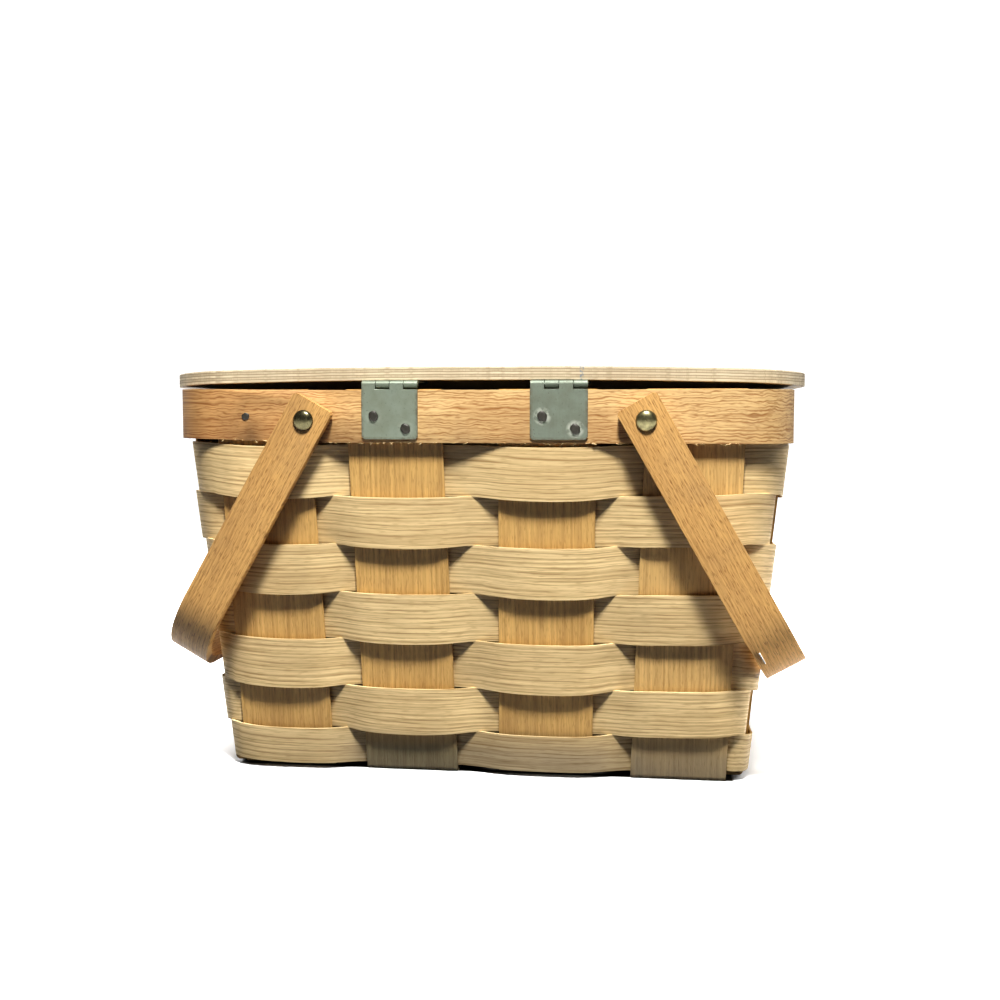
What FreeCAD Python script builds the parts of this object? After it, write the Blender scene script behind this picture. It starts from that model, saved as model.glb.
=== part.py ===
import FreeCAD, Part
import math
import os
from FreeCAD import Vector

# Splint picnic basket with a hinged plywood lid and two swing handles.
# Millimetres. The origin is at the middle of the base, on the surface it stands on.
# +Z is up, X runs along the long sides, and the hinges are on the -Y side.

# Splints
splint_width = 50.8
splint_thick = 1.2
splint_bend = 1.5
lay_clear = 0.15
long_count = 4
long_edge_clear_rim = 1.0
long_edge_clear_base = 0.75
second_shift_rim = -5.0
second_shift_base = -2.0
end_count = 3
end_edge_clear_rim = 2.6
end_edge_clear_base = 0.5
end_gap_base = 11.7
splint_rise = 0.4

# Weavers
row_count = 7
weaver_height = 25.8
bottom_weaver_height = 19.6
weaver_thick = 0.9
weave_depth = 3.2
crest_ease = 0.4
corner_swing = 1.7
row_gap = 0.4
base_lift = 3.8

# Rim hoop and the lean of the walls
rim_length = 330.0
rim_depth = 240.0
rim_corner = 24.0
band_thick = 4.0
band_height = 27.6
band_gap = 0.8
base_inset = 19.0
base_corner = 8.0

# Lid
lid_overhang = 7.0
lid_corner = 38.0
lid_thick = 7.0
lid_camber = 2.4
lid_rest_clear = 0.3
lid_edge_gap = 1.2

# Hinges
hinge_handle_gap = 44.7
hinge_width = 29.8
leaf_length = 28.6
leaf_thick = 1.0
leaf_corner = 1.5
knuckle_radius = 2.2
knuckle_count = 4
knuckle_gap = 0.3
knuckle_lift = 0.2
pin_radius = 1.0
pin_press = 0.01
pin_clear = 0.06

# Handles
handle_end_inset = 76.0
handle_drop = 15.8
handle_reach = 152.0
handle_tail = 10.8
handle_width = 23.0
handle_thick = 5.0
handle_bend = 40.0
handle_corner = 1.5
handle_wall_clear = 0.4
handle_side_clear = 0.2

# Handle rivets
rivet_head_radius = 5.4
rivet_head_height = 2.6
rivet_shank_radius = 2.3
rivet_fit = 0.05
rivet_tail_radius = 4.6
rivet_tail_height = 1.6
spacer_radius = 6.0
spacer_thick = 1.3
rivet_sides = 14

# Nails
nail_side = 1.6
nail_fit = 0.05
nail_clinch_side = 2.6
nail_clinch_height = 0.6
nail_sides = 12
hinge_nail_head_radius = 2.65
hinge_nail_head_height = 1.1
hinge_nail_across = 8.5
hinge_nail_near = 16.5
hinge_nail_far = 23.0
lid_nail_length = 5.0
rim_nail_head_radius = 2.0
rim_nail_head_height = 0.7
rim_nail_outset = 8.3

# Worked out from the sizes above
half_rim_x = rim_length / 2
half_rim_y = rim_depth / 2
splint_skin = band_thick + splint_thick / 2
wall_half_x = half_rim_x - splint_skin
wall_half_y = half_rim_y - splint_skin
wall_corner = rim_corner - splint_skin
lid_length = rim_length + 2 * lid_overhang
bottom_row_top = base_lift + bottom_weaver_height
row_pitch = weaver_height + row_gap
weave_top = bottom_row_top + (row_count - 1) * row_pitch
rim_bottom = weave_top + band_gap
rim_top = rim_bottom + band_height
splint_top = rim_top + splint_rise
lap_offset = (splint_thick + lay_clear) / 2
base_middle = lap_offset + splint_thick / 2
hinge_y = -(half_rim_y + leaf_thick - knuckle_radius)
hinge_z = splint_top + knuckle_lift + knuckle_radius
lid_half_y = -(hinge_y + lid_edge_gap)
handle_x = half_rim_x - handle_end_inset
hinge_x = handle_x - hinge_handle_gap
handle_z = rim_top - handle_drop
arm_inner_y = half_rim_y + spacer_thick + handle_side_clear
arm_outer_y = arm_inner_y + handle_thick
rim_stack = 2 * band_thick + splint_thick


def edge_pitch(straight_half, edge_clear, count, width):
    """Pitch that puts the outer splints' edges this far inside a wall's straight part."""
    return 2 * (straight_half - edge_clear - width / 2) / (count - 1)


base_straight_x = wall_half_x - base_inset - base_corner
base_straight_y = wall_half_y - base_inset - base_corner
long_pitch_rim = edge_pitch(half_rim_x - rim_corner, long_edge_clear_rim, long_count, splint_width)
long_pitch_base = edge_pitch(base_straight_x, long_edge_clear_base, long_count, splint_width)
end_room = 2 * (base_straight_y - end_edge_clear_base) - (end_count - 1) * end_gap_base
end_splint_width = end_room / end_count
end_pitch_rim = edge_pitch(half_rim_y - rim_corner, end_edge_clear_rim, end_count, end_splint_width)
end_pitch_base = edge_pitch(base_straight_y, end_edge_clear_base, end_count, end_splint_width)

X_AXIS = Vector(1, 0, 0)
Y_AXIS = Vector(0, 1, 0)
Z_AXIS = Vector(0, 0, 1)
ORIGIN = Vector(0, 0, 0)
FAR = rim_length + rim_depth


def wall_growth(z):
    """Share of the way from the base (0) to the top of the weave (1)."""
    return min(max(z / weave_top, 0.0), 1.0)


def wall_plan(z):
    """Half length, half depth and corner radius of the wall's middle surface."""
    inset = base_inset * (1 - wall_growth(z))
    corner = base_corner + (wall_corner - base_corner) * wall_growth(z)
    return wall_half_x - inset, wall_half_y - inset, corner


def splint_centres(count, pitch_base, pitch_rim, z):
    pitch = pitch_base + (pitch_rim - pitch_base) * z / splint_top
    return [(i - (count - 1) / 2) * pitch for i in range(count)]


def long_centres(z):
    """Uprights of the long sides; the second one from the left was set off its place."""
    centres = splint_centres(long_count, long_pitch_base, long_pitch_rim, z)
    centres[1] += second_shift_base + (second_shift_rim - second_shift_base) * z / splint_top
    return centres


def end_centres(z):
    return splint_centres(end_count, end_pitch_base, end_pitch_rim, z)


def rounded_rectangle(half_x, half_y, radius, z):
    plate = Part.makePlane(2 * half_x, 2 * half_y, Vector(-half_x, -half_y, z))
    block = plate.extrude(Z_AXIS)
    uprights = [e for e in block.Edges if abs(e.tangentAt(e.FirstParameter).z) > 0.9]
    block = block.makeFillet(radius, uprights)
    return [f for f in block.Faces if abs(f.CenterOfMass.z - z) < 1e-6][0]


# Splints: each runs down one wall, across the base and up the other wall.

def offset_line(points, distance):
    """An open line of points in a plane, moved sideways with mitred corners."""
    normals = []
    for (u0, z0), (u1, z1) in zip(points, points[1:]):
        run = math.hypot(u1 - u0, z1 - z0)
        normals.append(((z0 - z1) / run, (u1 - u0) / run))
    normals = [normals[0]] + normals + [normals[-1]]
    moved = []
    for (u, z), (a0, b0), (a1, b1) in zip(points, normals, normals[1:]):
        scale = distance / (1 + a0 * a1 + b0 * b1)
        moved.append((u + (a0 + a1) * scale, z + (b0 + b1) * scale))
    return moved


def splint_line(wall_half, crossings, cross_width, first_over):
    """Middle line of a splint: wall, base with its overs and unders, wall."""
    margin = cross_width / 2 + (crossings[1] - crossings[0] - cross_width) / 12
    base = []
    over = first_over
    for u in crossings:
        level = base_middle + (lap_offset if over else -lap_offset)
        base += [(u - margin, level), (u + margin, level)]
        over = not over
    ends = []
    for side, level in ((-1, base[0][1]), (1, base[-1][1])):
        foot = wall_half - base_inset * (1 - wall_growth(level))
        ends.append([(side * foot, level), (side * wall_half, weave_top), (side * wall_half, splint_top)])
    return ends[0][::-1] + base + ends[1]


def splint(middle, width, centre_base, centre_rim):
    """A splint whose length runs along Y and whose width runs along X."""
    inner = offset_line(middle, splint_thick / 2)
    outer = offset_line(middle, -splint_thick / 2)
    profile = [Vector(-FAR, u, z) for u, z in inner + outer[::-1]]
    strip = Part.Face(Part.makePolygon(profile + profile[:1])).extrude(X_AXIS * 2 * FAR)
    last = len(middle) - 3
    for line, radius in ((inner, splint_bend), (outer, splint_bend + splint_thick)):
        folds = []
        for u, z in (line[2], line[last]):
            corner = Vector(0, u, z)
            folds += [e for e in strip.Edges if e.CenterOfMass.distanceToPoint(corner) < 1e-4]
        strip = strip.makeFillet(radius, folds)
    half = width / 2
    lean = (centre_rim - centre_base) / splint_top
    low = centre_base - lean * band_height
    high = centre_rim + lean * band_height
    outline = [Vector(low - half, -FAR, -band_height), Vector(low + half, -FAR, -band_height),
               Vector(high + half, -FAR, splint_top + band_height),
               Vector(high - half, -FAR, splint_top + band_height)]
    band = Part.Face(Part.makePolygon(outline + outline[:1])).extrude(Y_AXIS * 2 * FAR)
    return strip.common(band)


# Weavers: closed rings that lie flat outside one upright and flat inside the next, and
# change sides in the gaps between them and round the corners.

def side_frames(z):
    """For each wall, anticlockwise: its middle, direction, outward normal, uprights and their width."""
    half_x, half_y, corner = wall_plan(z)
    longs = long_centres(z)
    ends = end_centres(z)
    backwards = [-x for x in reversed(longs)]
    return [(Vector(0, -half_y), X_AXIS, -Y_AXIS, longs, splint_width),
            (Vector(half_x, 0), Y_AXIS, X_AXIS, ends, end_splint_width),
            (Vector(0, half_y), -X_AXIS, Y_AXIS, backwards, splint_width),
            (Vector(-half_x, 0), -Y_AXIS, -X_AXIS, ends, end_splint_width)]


def corner_points(along, normal, z, swing):
    """Points round the corner after a wall, from one side of the wall's surface to the other."""
    half_x, half_y, corner = wall_plan(z)
    hub = Vector(half_x - corner, half_y - corner)
    hub = Vector(math.copysign(hub.x, along.x + normal.x), math.copysign(hub.y, along.y + normal.y))
    points = []
    for turn in (0, 30, 60, 90):
        angle = math.radians(turn)
        reach = corner + swing * corner_swing * (1 - turn / 45)
        points.append(hub + normal * (reach * math.cos(angle)) + along * (reach * math.sin(angle)))
    return points


def crest_reach(uprights, width, i, step):
    """How far a weaver lies flat from the middle of an upright, towards one neighbour."""
    neighbour = i + step if 0 <= i + step < len(uprights) else i - step
    gap = abs(uprights[neighbour] - uprights[i]) - width
    return width / 2 - crest_ease * gap


def weaver_line(z, first_out):
    """Middle line of a weaver at one height, anticlockwise."""
    swing = 1 if first_out else -1
    points = []
    for middle, along, normal, uprights, width in side_frames(z):
        for i, place in enumerate(uprights):
            crest = middle + along * place + normal * (swing * weave_depth)
            points.append(crest - along * crest_reach(uprights, width, i, -1))
            points.append(crest + along * crest_reach(uprights, width, i, 1))
            swing = -swing
        points += corner_points(along, normal, z, -swing)
    return [(p.x, p.y) for p in points]


def weaver_wire(z, first_out, skin):
    line = weaver_line(z, first_out)
    ring = offset_line(line[-1:] + line + line[:1], -skin)[1:-1]
    return Part.makePolygon([Vector(x, y, z) for x, y in ring + ring[:1]])


def weaver(z_low, z_high, first_out):
    half = weaver_thick / 2
    outside = [weaver_wire(z, first_out, half) for z in (z_low, z_high)]
    inside = [weaver_wire(z, first_out, -half) for z in (z_low, z_high)]
    return Part.makeLoft(outside, True, True).cut(Part.makeLoft(inside, True, True))


def row_heights(row):
    """Low and high edges of a weaver; row 1 is the top one."""
    if row == row_count:
        return base_lift, bottom_row_top
    low = bottom_row_top + row_gap + (row_count - 1 - row) * row_pitch
    return low, low + weaver_height


# Rim

def rim_band(outset):
    """A hoop of the band's thickness, with its outside this far inside the rim's face."""
    outer = rounded_rectangle(half_rim_x - outset, half_rim_y - outset, rim_corner - outset, rim_bottom)
    inset = outset + band_thick
    inner = rounded_rectangle(half_rim_x - inset, half_rim_y - inset, rim_corner - inset, rim_bottom)
    return outer.cut(inner).Faces[0].extrude(Z_AXIS * band_height)


# Fasteners: made along +Z with the head's seat at height 0, then turned to face outward.

def facing(shape, place, outward):
    shape.Placement = FreeCAD.Placement(place, FreeCAD.Rotation(Z_AXIS, outward))
    return shape


def faceted(rings, sides):
    """Solid of flat faces through level polygons given as (radius, height) pairs."""
    levels = []
    for radius, height in rings:
        turns = [2 * math.pi * i / sides for i in range(sides)]
        levels.append([Vector(radius * math.cos(a), radius * math.sin(a), height) for a in turns])
    loops = [levels[0], levels[-1]]
    for low, high in zip(levels, levels[1:]):
        for i in range(sides):
            loops.append([low[i - 1], low[i], high[i], high[i - 1]])
    faces = [Part.Face(Part.makePolygon(loop + loop[:1])) for loop in loops]
    return Part.makeSolid(Part.makeShell(faces))


def square_bar(side, low, high):
    return Part.makeBox(side, side, high - low, Vector(-side / 2, -side / 2, low))


def nail(head_radius, head_height, length, clinched):
    """Square-shank nail with a low domed head; its far end is clinched or left plain."""
    rings = [(head_radius, 0), (head_radius, head_height / 3), (head_radius * 0.6, head_height)]
    shape = faceted(rings, nail_sides)
    shape = shape.fuse(square_bar(nail_side, -length, 0))
    if clinched:
        shape = shape.fuse(square_bar(nail_clinch_side, -length - nail_clinch_height, -length))
    return shape.removeSplitter()


def rivet(length):
    """Domed rivet with a round shank and a formed tail."""
    head = faceted([(rivet_head_radius, 0), (rivet_head_radius * 0.94, rivet_head_height * 0.4),
                    (rivet_head_radius * 0.72, rivet_head_height * 0.8),
                    (rivet_head_radius * 0.36, rivet_head_height)], rivet_sides)
    tail = faceted([(rivet_tail_radius * 0.6, -length - rivet_tail_height),
                    (rivet_tail_radius, -length)], rivet_sides)
    shank = Part.makeCylinder(rivet_shank_radius, length, Vector(0, 0, -length))
    return head.fuse([shank, tail]).removeSplitter()


def nail_drill(place, outward):
    """Square hole through the whole rim for a nail."""
    return facing(square_bar(nail_side + 2 * nail_fit, -2 * rim_stack, rim_stack), place, outward)


def rivet_drill(place, outward):
    radius = rivet_shank_radius + rivet_fit
    return Part.makeCylinder(radius, 3 * rim_stack, place + outward * rim_stack, -outward)


def spacer(place, outward):
    """Washer that holds a handle off the rim."""
    disc = faceted([(spacer_radius, 0), (spacer_radius, spacer_thick)], rivet_sides)
    disc = disc.cut(Part.makeCylinder(rivet_shank_radius + rivet_fit, spacer_thick))
    return facing(disc, place, outward)


def wall_places():
    """Seat and outward direction of each handle rivet on the rim's face."""
    places = []
    for side in (-1, 1):
        for end in (-1, 1):
            places.append((Vector(end * handle_x, side * half_rim_y, handle_z), Y_AXIS * side))
    return places


def rim_nail_places():
    middle = rim_bottom + band_height / 2
    along = rim_nail_outset - long_centres(middle)[0]
    places = [(Vector(-along, -half_rim_y, middle), -Y_AXIS), (Vector(along, half_rim_y, middle), Y_AXIS)]
    for end in (-1, 1):
        for y in end_centres(middle):
            places.append((Vector(end * half_rim_x, y, middle), X_AXIS * end))
    return places


def hinge_nail_marks():
    """Along the pin and away from the pin, for the two nails of each leaf."""
    return ((-hinge_nail_across, hinge_nail_near), (hinge_nail_across, hinge_nail_far))


def body_nail_places():
    places = []
    for centre in (-hinge_x, hinge_x):
        for along, away in hinge_nail_marks():
            places.append((Vector(centre + along, -half_rim_y - leaf_thick, hinge_z - away), -Y_AXIS))
    return places


def lid_nail_places():
    places = []
    level = hinge_z + knuckle_radius - leaf_thick
    for centre in (-hinge_x, hinge_x):
        for along, away in hinge_nail_marks():
            places.append((Vector(centre + along, hinge_y + away, level), -Z_AXIS))
    return places


# Hinges: a leaf lies flush with the outside of its knuckles, which curl round the pin.

def leaf(first_knuckle, bore_clear):
    """A leaf along +Y from the pin on the X axis, its outer face up, knuckles from one slot on."""
    low = knuckle_radius - leaf_thick
    slot = hinge_width / knuckle_count
    clear = knuckle_radius + knuckle_gap
    plate = Part.makeBox(hinge_width, leaf_length - clear, leaf_thick, Vector(-hinge_width / 2, clear, low))
    corners = [e for e in plate.Edges if abs(e.tangentAt(e.FirstParameter).z) > 0.9
               and e.CenterOfMass.y > leaf_length - 1e-6]
    shape = plate.makeChamfer(leaf_corner, corners)
    meet = math.sqrt(knuckle_radius ** 2 - low ** 2)
    top = Vector(0, 0, knuckle_radius)
    root = Vector(0, meet, low)
    curl = [Part.Arc(top, Vector(0, 0, -knuckle_radius), root).toShape(),
            Part.makeLine(root, Vector(0, clear, low)),
            Part.makeLine(Vector(0, clear, low), Vector(0, clear, knuckle_radius)),
            Part.makeLine(Vector(0, clear, knuckle_radius), top)]
    section = Part.Face(Part.Wire(curl))
    for i in range(first_knuckle, knuckle_count, 2):
        start = -hinge_width / 2 + i * slot + knuckle_gap / 2
        piece = section.copy()
        piece.translate(X_AXIS * start)
        shape = shape.fuse(piece.extrude(X_AXIS * (slot - knuckle_gap)))
    bore = Part.makeCylinder(pin_radius + bore_clear, 2 * hinge_width, -X_AXIS * hinge_width, X_AXIS)
    shape = shape.removeSplitter().cut(bore)
    for along, away in hinge_nail_marks():
        hole = square_bar(nail_side + 2 * nail_fit, low - leaf_thick, knuckle_radius + leaf_thick)
        hole.translate(Vector(along, away, 0))
        shape = shape.cut(hole)
    return shape


def body_leaf(centre):
    """The leaf hangs down the outside of the rim."""
    shape = leaf(0, pin_press).mirror(ORIGIN, X_AXIS)
    shape.rotate(ORIGIN, Z_AXIS, 180)
    shape.rotate(ORIGIN, X_AXIS, 90)
    shape.translate(Vector(centre, hinge_y, hinge_z))
    return shape


def lid_leaf(centre):
    """The leaf lies along the underside of the lid."""
    shape = leaf(1, pin_clear)
    shape.translate(Vector(centre, hinge_y, hinge_z))
    return shape


def lid_drop_angle():
    """Tilt that brings the ends of the closed lid down onto the rim, towards the front."""
    crown = knuckle_radius + lid_camber_at(hinge_x + hinge_width / 2)
    reach = half_rim_y - rim_corner - hinge_y
    drop = hinge_z + crown - lid_camber_at(half_rim_x) - splint_top - lid_rest_clear
    return math.degrees(math.atan2(drop, reach))


# Lid

def lid_camber_at(x):
    return lid_camber * (x / (lid_length / 2)) ** 2


def lid_panel():
    """Plywood panel, bowed along its length, its underside seated on the hinge leaves."""
    half = lid_length / 2
    crown = hinge_z + knuckle_radius + lid_camber_at(hinge_x + hinge_width / 2)
    outline = rounded_rectangle(half, lid_half_y, lid_corner, crown - 2 * lid_camber - 1)
    blank = outline.extrude(Z_AXIS * (lid_thick + 4 * lid_camber + 2))
    reach = half + lid_corner
    sag = lid_camber * (reach / half) ** 2
    low = [Vector(-reach, -FAR, crown - sag), Vector(0, -FAR, crown), Vector(reach, -FAR, crown - sag)]
    high = [p + Z_AXIS * lid_thick for p in low]
    slab = Part.Wire([Part.Arc(*low).toShape(), Part.makeLine(low[2], high[2]),
                      Part.Arc(high[2], high[1], high[0]).toShape(), Part.makeLine(high[0], low[0])])
    return blank.common(Part.Face(slab).extrude(Y_AXIS * 2 * FAR))


# Handles

def grip_gap(angle):
    """Room between the grip's inner corners and the weave on the end wall."""
    gaps = []
    for radius in (handle_reach - handle_thick, handle_reach):
        x = handle_x + radius * math.sin(angle) - handle_width / 2 * math.cos(angle)
        z = handle_z - radius * math.cos(angle) - handle_width / 2 * math.sin(angle)
        gaps.append(x - wall_plan(z)[0] - weave_depth - weaver_thick / 2)
    return min(gaps)


def handle_rest_angle():
    """The handle hangs from its rivets until its grip lies against the end wall."""
    low, high = 0.0, math.pi / 2
    for _ in range(40):
        middle = (low + high) / 2
        if grip_gap(middle) < handle_wall_clear:
            low = middle
        else:
            high = middle
    return math.degrees(high)


def handle(end):
    """Bent strip: two arms outside the rim and a grip across the end of the basket."""
    size = Vector(handle_reach + handle_tail, 2 * arm_outer_y, handle_width)
    corner = Vector(-handle_tail, -arm_outer_y, -handle_width / 2)
    strip = Part.makeBox(size.x, size.y, size.z, corner)
    hollow = Part.makeBox(size.x, 2 * arm_inner_y, 2 * size.z,
                          Vector(-handle_tail - handle_thick, -arm_inner_y, -size.z))
    strip = strip.cut(hollow)
    for x, y, radius in ((handle_reach, arm_outer_y, handle_bend),
                         (handle_reach - handle_thick, arm_inner_y, handle_bend - handle_thick)):
        bends = [e for e in strip.Edges if abs(e.CenterOfMass.x - x) < 1e-6
                 and abs(abs(e.CenterOfMass.y) - y) < 1e-6 and abs(e.CenterOfMass.z) < 1e-6]
        strip = strip.makeFillet(radius, bends)
    tails = [e for e in strip.Edges if abs(e.CenterOfMass.x + handle_tail) < 1e-6
             and abs(e.tangentAt(e.FirstParameter).y) > 0.9]
    strip = strip.makeChamfer(handle_corner, tails)
    reach = 2 * arm_outer_y
    bore = Part.makeCylinder(rivet_shank_radius + rivet_fit, 2 * reach, -Y_AXIS * reach, Y_AXIS)
    strip = strip.cut(bore)
    strip.rotate(ORIGIN, Y_AXIS, 90 - handle_rest_angle())
    if end < 0:
        strip.rotate(ORIGIN, Z_AXIS, 180)
    strip.translate(Vector(end * handle_x, 0, handle_z))
    return strip


# Assembly

def write(name, shape):
    solids = shape.Solids
    node = solids[0] if len(solids) == 1 else Part.makeCompound(solids)
    if not node.isValid():
        raise ValueError(name + " is not a valid solid")
    node.exportStep("parts/" + name + ".step")
    print(name, len(solids), "solid(s)", round(node.Volume, 1), "mm3")


def main():
    os.makedirs("parts", exist_ok=True)
    drills = [rivet_drill(place, outward) for place, outward in wall_places()]
    drills += [nail_drill(place, outward) for place, outward in rim_nail_places() + body_nail_places()]
    drilled = Part.makeCompound(drills)

    long_base = long_centres(0)
    long_rim = long_centres(splint_top)
    end_base = end_centres(0)
    end_rim = end_centres(splint_top)
    for i in range(long_count):
        line = splint_line(wall_half_y, end_base, end_splint_width, i % 2 == 0)
        shape = splint(line, splint_width, long_base[i], long_rim[i])
        write("long_side_splint_%d" % (i + 1), shape.cut(drilled))
    for i in range(end_count):
        line = splint_line(wall_half_x, long_base, splint_width, i % 2 == 1)
        shape = splint(line, end_splint_width, end_base[i], end_rim[i])
        shape.rotate(ORIGIN, Z_AXIS, 90)
        shape = shape.mirror(ORIGIN, X_AXIS)
        write("end_splint_%d" % (i + 1), shape.cut(drilled))
    for row in range(1, row_count + 1):
        low, high = row_heights(row)
        write("weaver_row_%d" % row, weaver(low, high, row % 2 == 1))

    write("outer_rim_band", rim_band(0).cut(drilled))
    write("inner_rim_band", rim_band(band_thick + splint_thick).cut(drilled))
    nails = []
    for place, outward in rim_nail_places():
        shape = nail(rim_nail_head_radius, rim_nail_head_height, rim_stack, True)
        nails.append(facing(shape, place, outward))
    write("rim_nails", Part.makeCompound(nails))

    for name, centre in (("left", -hinge_x), ("right", hinge_x)):
        write(name + "_hinge_body_leaf", body_leaf(centre))
        start = Vector(centre - hinge_width / 2, hinge_y, hinge_z)
        pin = Part.makeCylinder(pin_radius, hinge_width, start, X_AXIS)
        write(name + "_hinge_pin", pin)
    nails = []
    for place, outward in body_nail_places():
        shape = nail(hinge_nail_head_radius, hinge_nail_head_height, rim_stack + leaf_thick, True)
        nails.append(facing(shape, place, outward))
    write("hinge_body_nails", Part.makeCompound(nails))

    rivet_names = ("back_left", "back_right", "front_left", "front_right")
    seat = spacer_thick + handle_thick + 2 * handle_side_clear
    for name, (place, outward) in zip(rivet_names, wall_places()):
        write(name + "_handle_rivet", facing(rivet(seat + rim_stack), place + outward * seat, outward))
    spacers = [spacer(place, outward) for place, outward in wall_places()]
    write("handle_spacer_washers", Part.makeCompound(spacers))

    tilt_from = Vector(0, hinge_y, hinge_z)
    tilt = -lid_drop_angle()
    panel = lid_panel()
    nails = []
    for place, outward in lid_nail_places():
        shape = nail(hinge_nail_head_radius, hinge_nail_head_height, lid_nail_length, False)
        nails.append(facing(shape, place, outward))
        hole = square_bar(nail_side + 2 * nail_fit, -lid_nail_length - nail_clinch_height, 0)
        panel = panel.cut(facing(hole, place, outward))
    lid_pieces = {"lid_panel": panel, "left_hinge_lid_leaf": lid_leaf(-hinge_x),
                  "right_hinge_lid_leaf": lid_leaf(hinge_x), "hinge_lid_nails": Part.makeCompound(nails)}
    for name, shape in lid_pieces.items():
        shape.rotate(tilt_from, X_AXIS, tilt)
        write(name, shape)

    write("left_handle", handle(-1))
    write("right_handle", handle(1))
    print("handle rest angle", round(handle_rest_angle(), 3), "lid tilt", round(tilt, 3))
    print("hinge axis y, z", hinge_y, hinge_z, "handle axis x, z", handle_x, handle_z)


main()
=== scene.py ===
import math
import random
from collections import namedtuple
from contextlib import contextmanager

import bpy
import numpy as np
from mathutils import Matrix, Vector


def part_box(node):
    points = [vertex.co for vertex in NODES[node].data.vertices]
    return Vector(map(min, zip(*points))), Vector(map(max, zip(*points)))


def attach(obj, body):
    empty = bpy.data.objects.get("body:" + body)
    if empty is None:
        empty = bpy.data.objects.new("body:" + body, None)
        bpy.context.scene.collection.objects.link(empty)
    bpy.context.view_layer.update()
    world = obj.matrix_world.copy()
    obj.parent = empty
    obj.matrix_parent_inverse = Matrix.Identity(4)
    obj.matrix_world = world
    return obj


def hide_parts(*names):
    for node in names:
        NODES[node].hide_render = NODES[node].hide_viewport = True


bl_info = {
    "name": "Splint picnic basket",
    "version": (1, 0, 0),
    "blender": (4, 5, 0),
    "location": "View3D > Sidebar > Basket",
    "description": "Dresses the packed basket: weave, rim, lid, hinges, handles and stage",
    "category": "Object",
}

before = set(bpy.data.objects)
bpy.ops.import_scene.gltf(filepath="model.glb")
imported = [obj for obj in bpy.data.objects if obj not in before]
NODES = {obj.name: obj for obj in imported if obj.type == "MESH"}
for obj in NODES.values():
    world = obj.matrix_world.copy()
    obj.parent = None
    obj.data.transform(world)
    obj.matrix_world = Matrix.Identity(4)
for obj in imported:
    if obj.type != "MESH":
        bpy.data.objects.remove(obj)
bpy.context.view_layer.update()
MM = 0.001
LONG_SPLINTS = ["long_side_splint_%d" % i for i in range(1, 5)]
END_SPLINTS = ["end_splint_%d" % i for i in range(1, 4)]
WEAVERS = ["weaver_row_%d" % i for i in range(1, 8)]
RIVETS = [n + "_handle_rivet" for n in ("back_left", "back_right", "front_left", "front_right")]
BACK, FRONT = 0, 2                    # walls, counted from the back round by the right end
STATION = 3 * MM                      # spacing of a weaver's stations along a wall
CORNER_STEPS = 10                     # steps of a weaver round a corner
ROW_CELLS = 8                         # cells across a weaver
LAP_STATION = 8                       # where a ring's ends meet, counted from an upright's edge
RIGHT_FLATTER = 0.6                   # how much flatter the crests are at the back right corner
FIBRES = 300
FRAYED_WALLS = (0, 2, 0, 1, 2, 3)     # walls that the torn fibres are dealt out to
LID_FALL = math.radians(0.634)        # slope of the closed lid
RUST, HAMMERED, SPECK = (0.09, 0.065, 0.035), (0.42, 0.43, 0.36), (0.05, 0.045, 0.03)
INK = (0.03, 0.12, 0.22)


# Reading the frame

def node_points(name):
    mesh = NODES[name].data
    points = np.empty(len(mesh.vertices) * 3)
    mesh.vertices.foreach_get("co", points)
    return points.reshape(-1, 3)


def centre_between(name, axis, low, high):
    """Middle of a node along one axis, from its points between two heights."""
    points = node_points(name)
    points = points[(points[:, 2] >= low) & (points[:, 2] <= high)]
    return (points[:, axis].min() + points[:, axis].max()) / 2


def islands(name):
    """Boxes of the separate solids in one node, as (low, high) corners."""
    points = node_points(name)
    keys, where = np.unique(np.round(points, 6), axis=0, return_inverse=True)
    where = where.reshape(-1)
    parent = list(range(len(keys)))

    def root(i):
        while parent[i] != i:
            parent[i] = parent[parent[i]]
            i = parent[i]
        return i

    for face in NODES[name].data.polygons:
        first = root(where[face.vertices[0]])
        for v in face.vertices[1:]:
            parent[root(where[v])] = first
    groups = {}
    for i, key in enumerate(keys):
        groups.setdefault(root(i), []).append(key)
    boxes = [(np.min(g, axis=0), np.max(g, axis=0)) for g in groups.values()]
    return sorted(boxes, key=lambda b: tuple(np.round(b[0], 4)))


RIM_LOW, RIM_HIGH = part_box("outer_rim_band")
WEAVE_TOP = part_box("weaver_row_1")[1].z


# User sizes and colours

def length(label, about, value):
    return bpy.props.FloatProperty(name=label, description=about, default=value, unit="LENGTH", precision=5)


def colour(label, about, value):
    return bpy.props.FloatVectorProperty(name=label, description=about, default=value, size=3,
                                         subtype="COLOR", min=0.0, max=1.0)


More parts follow.
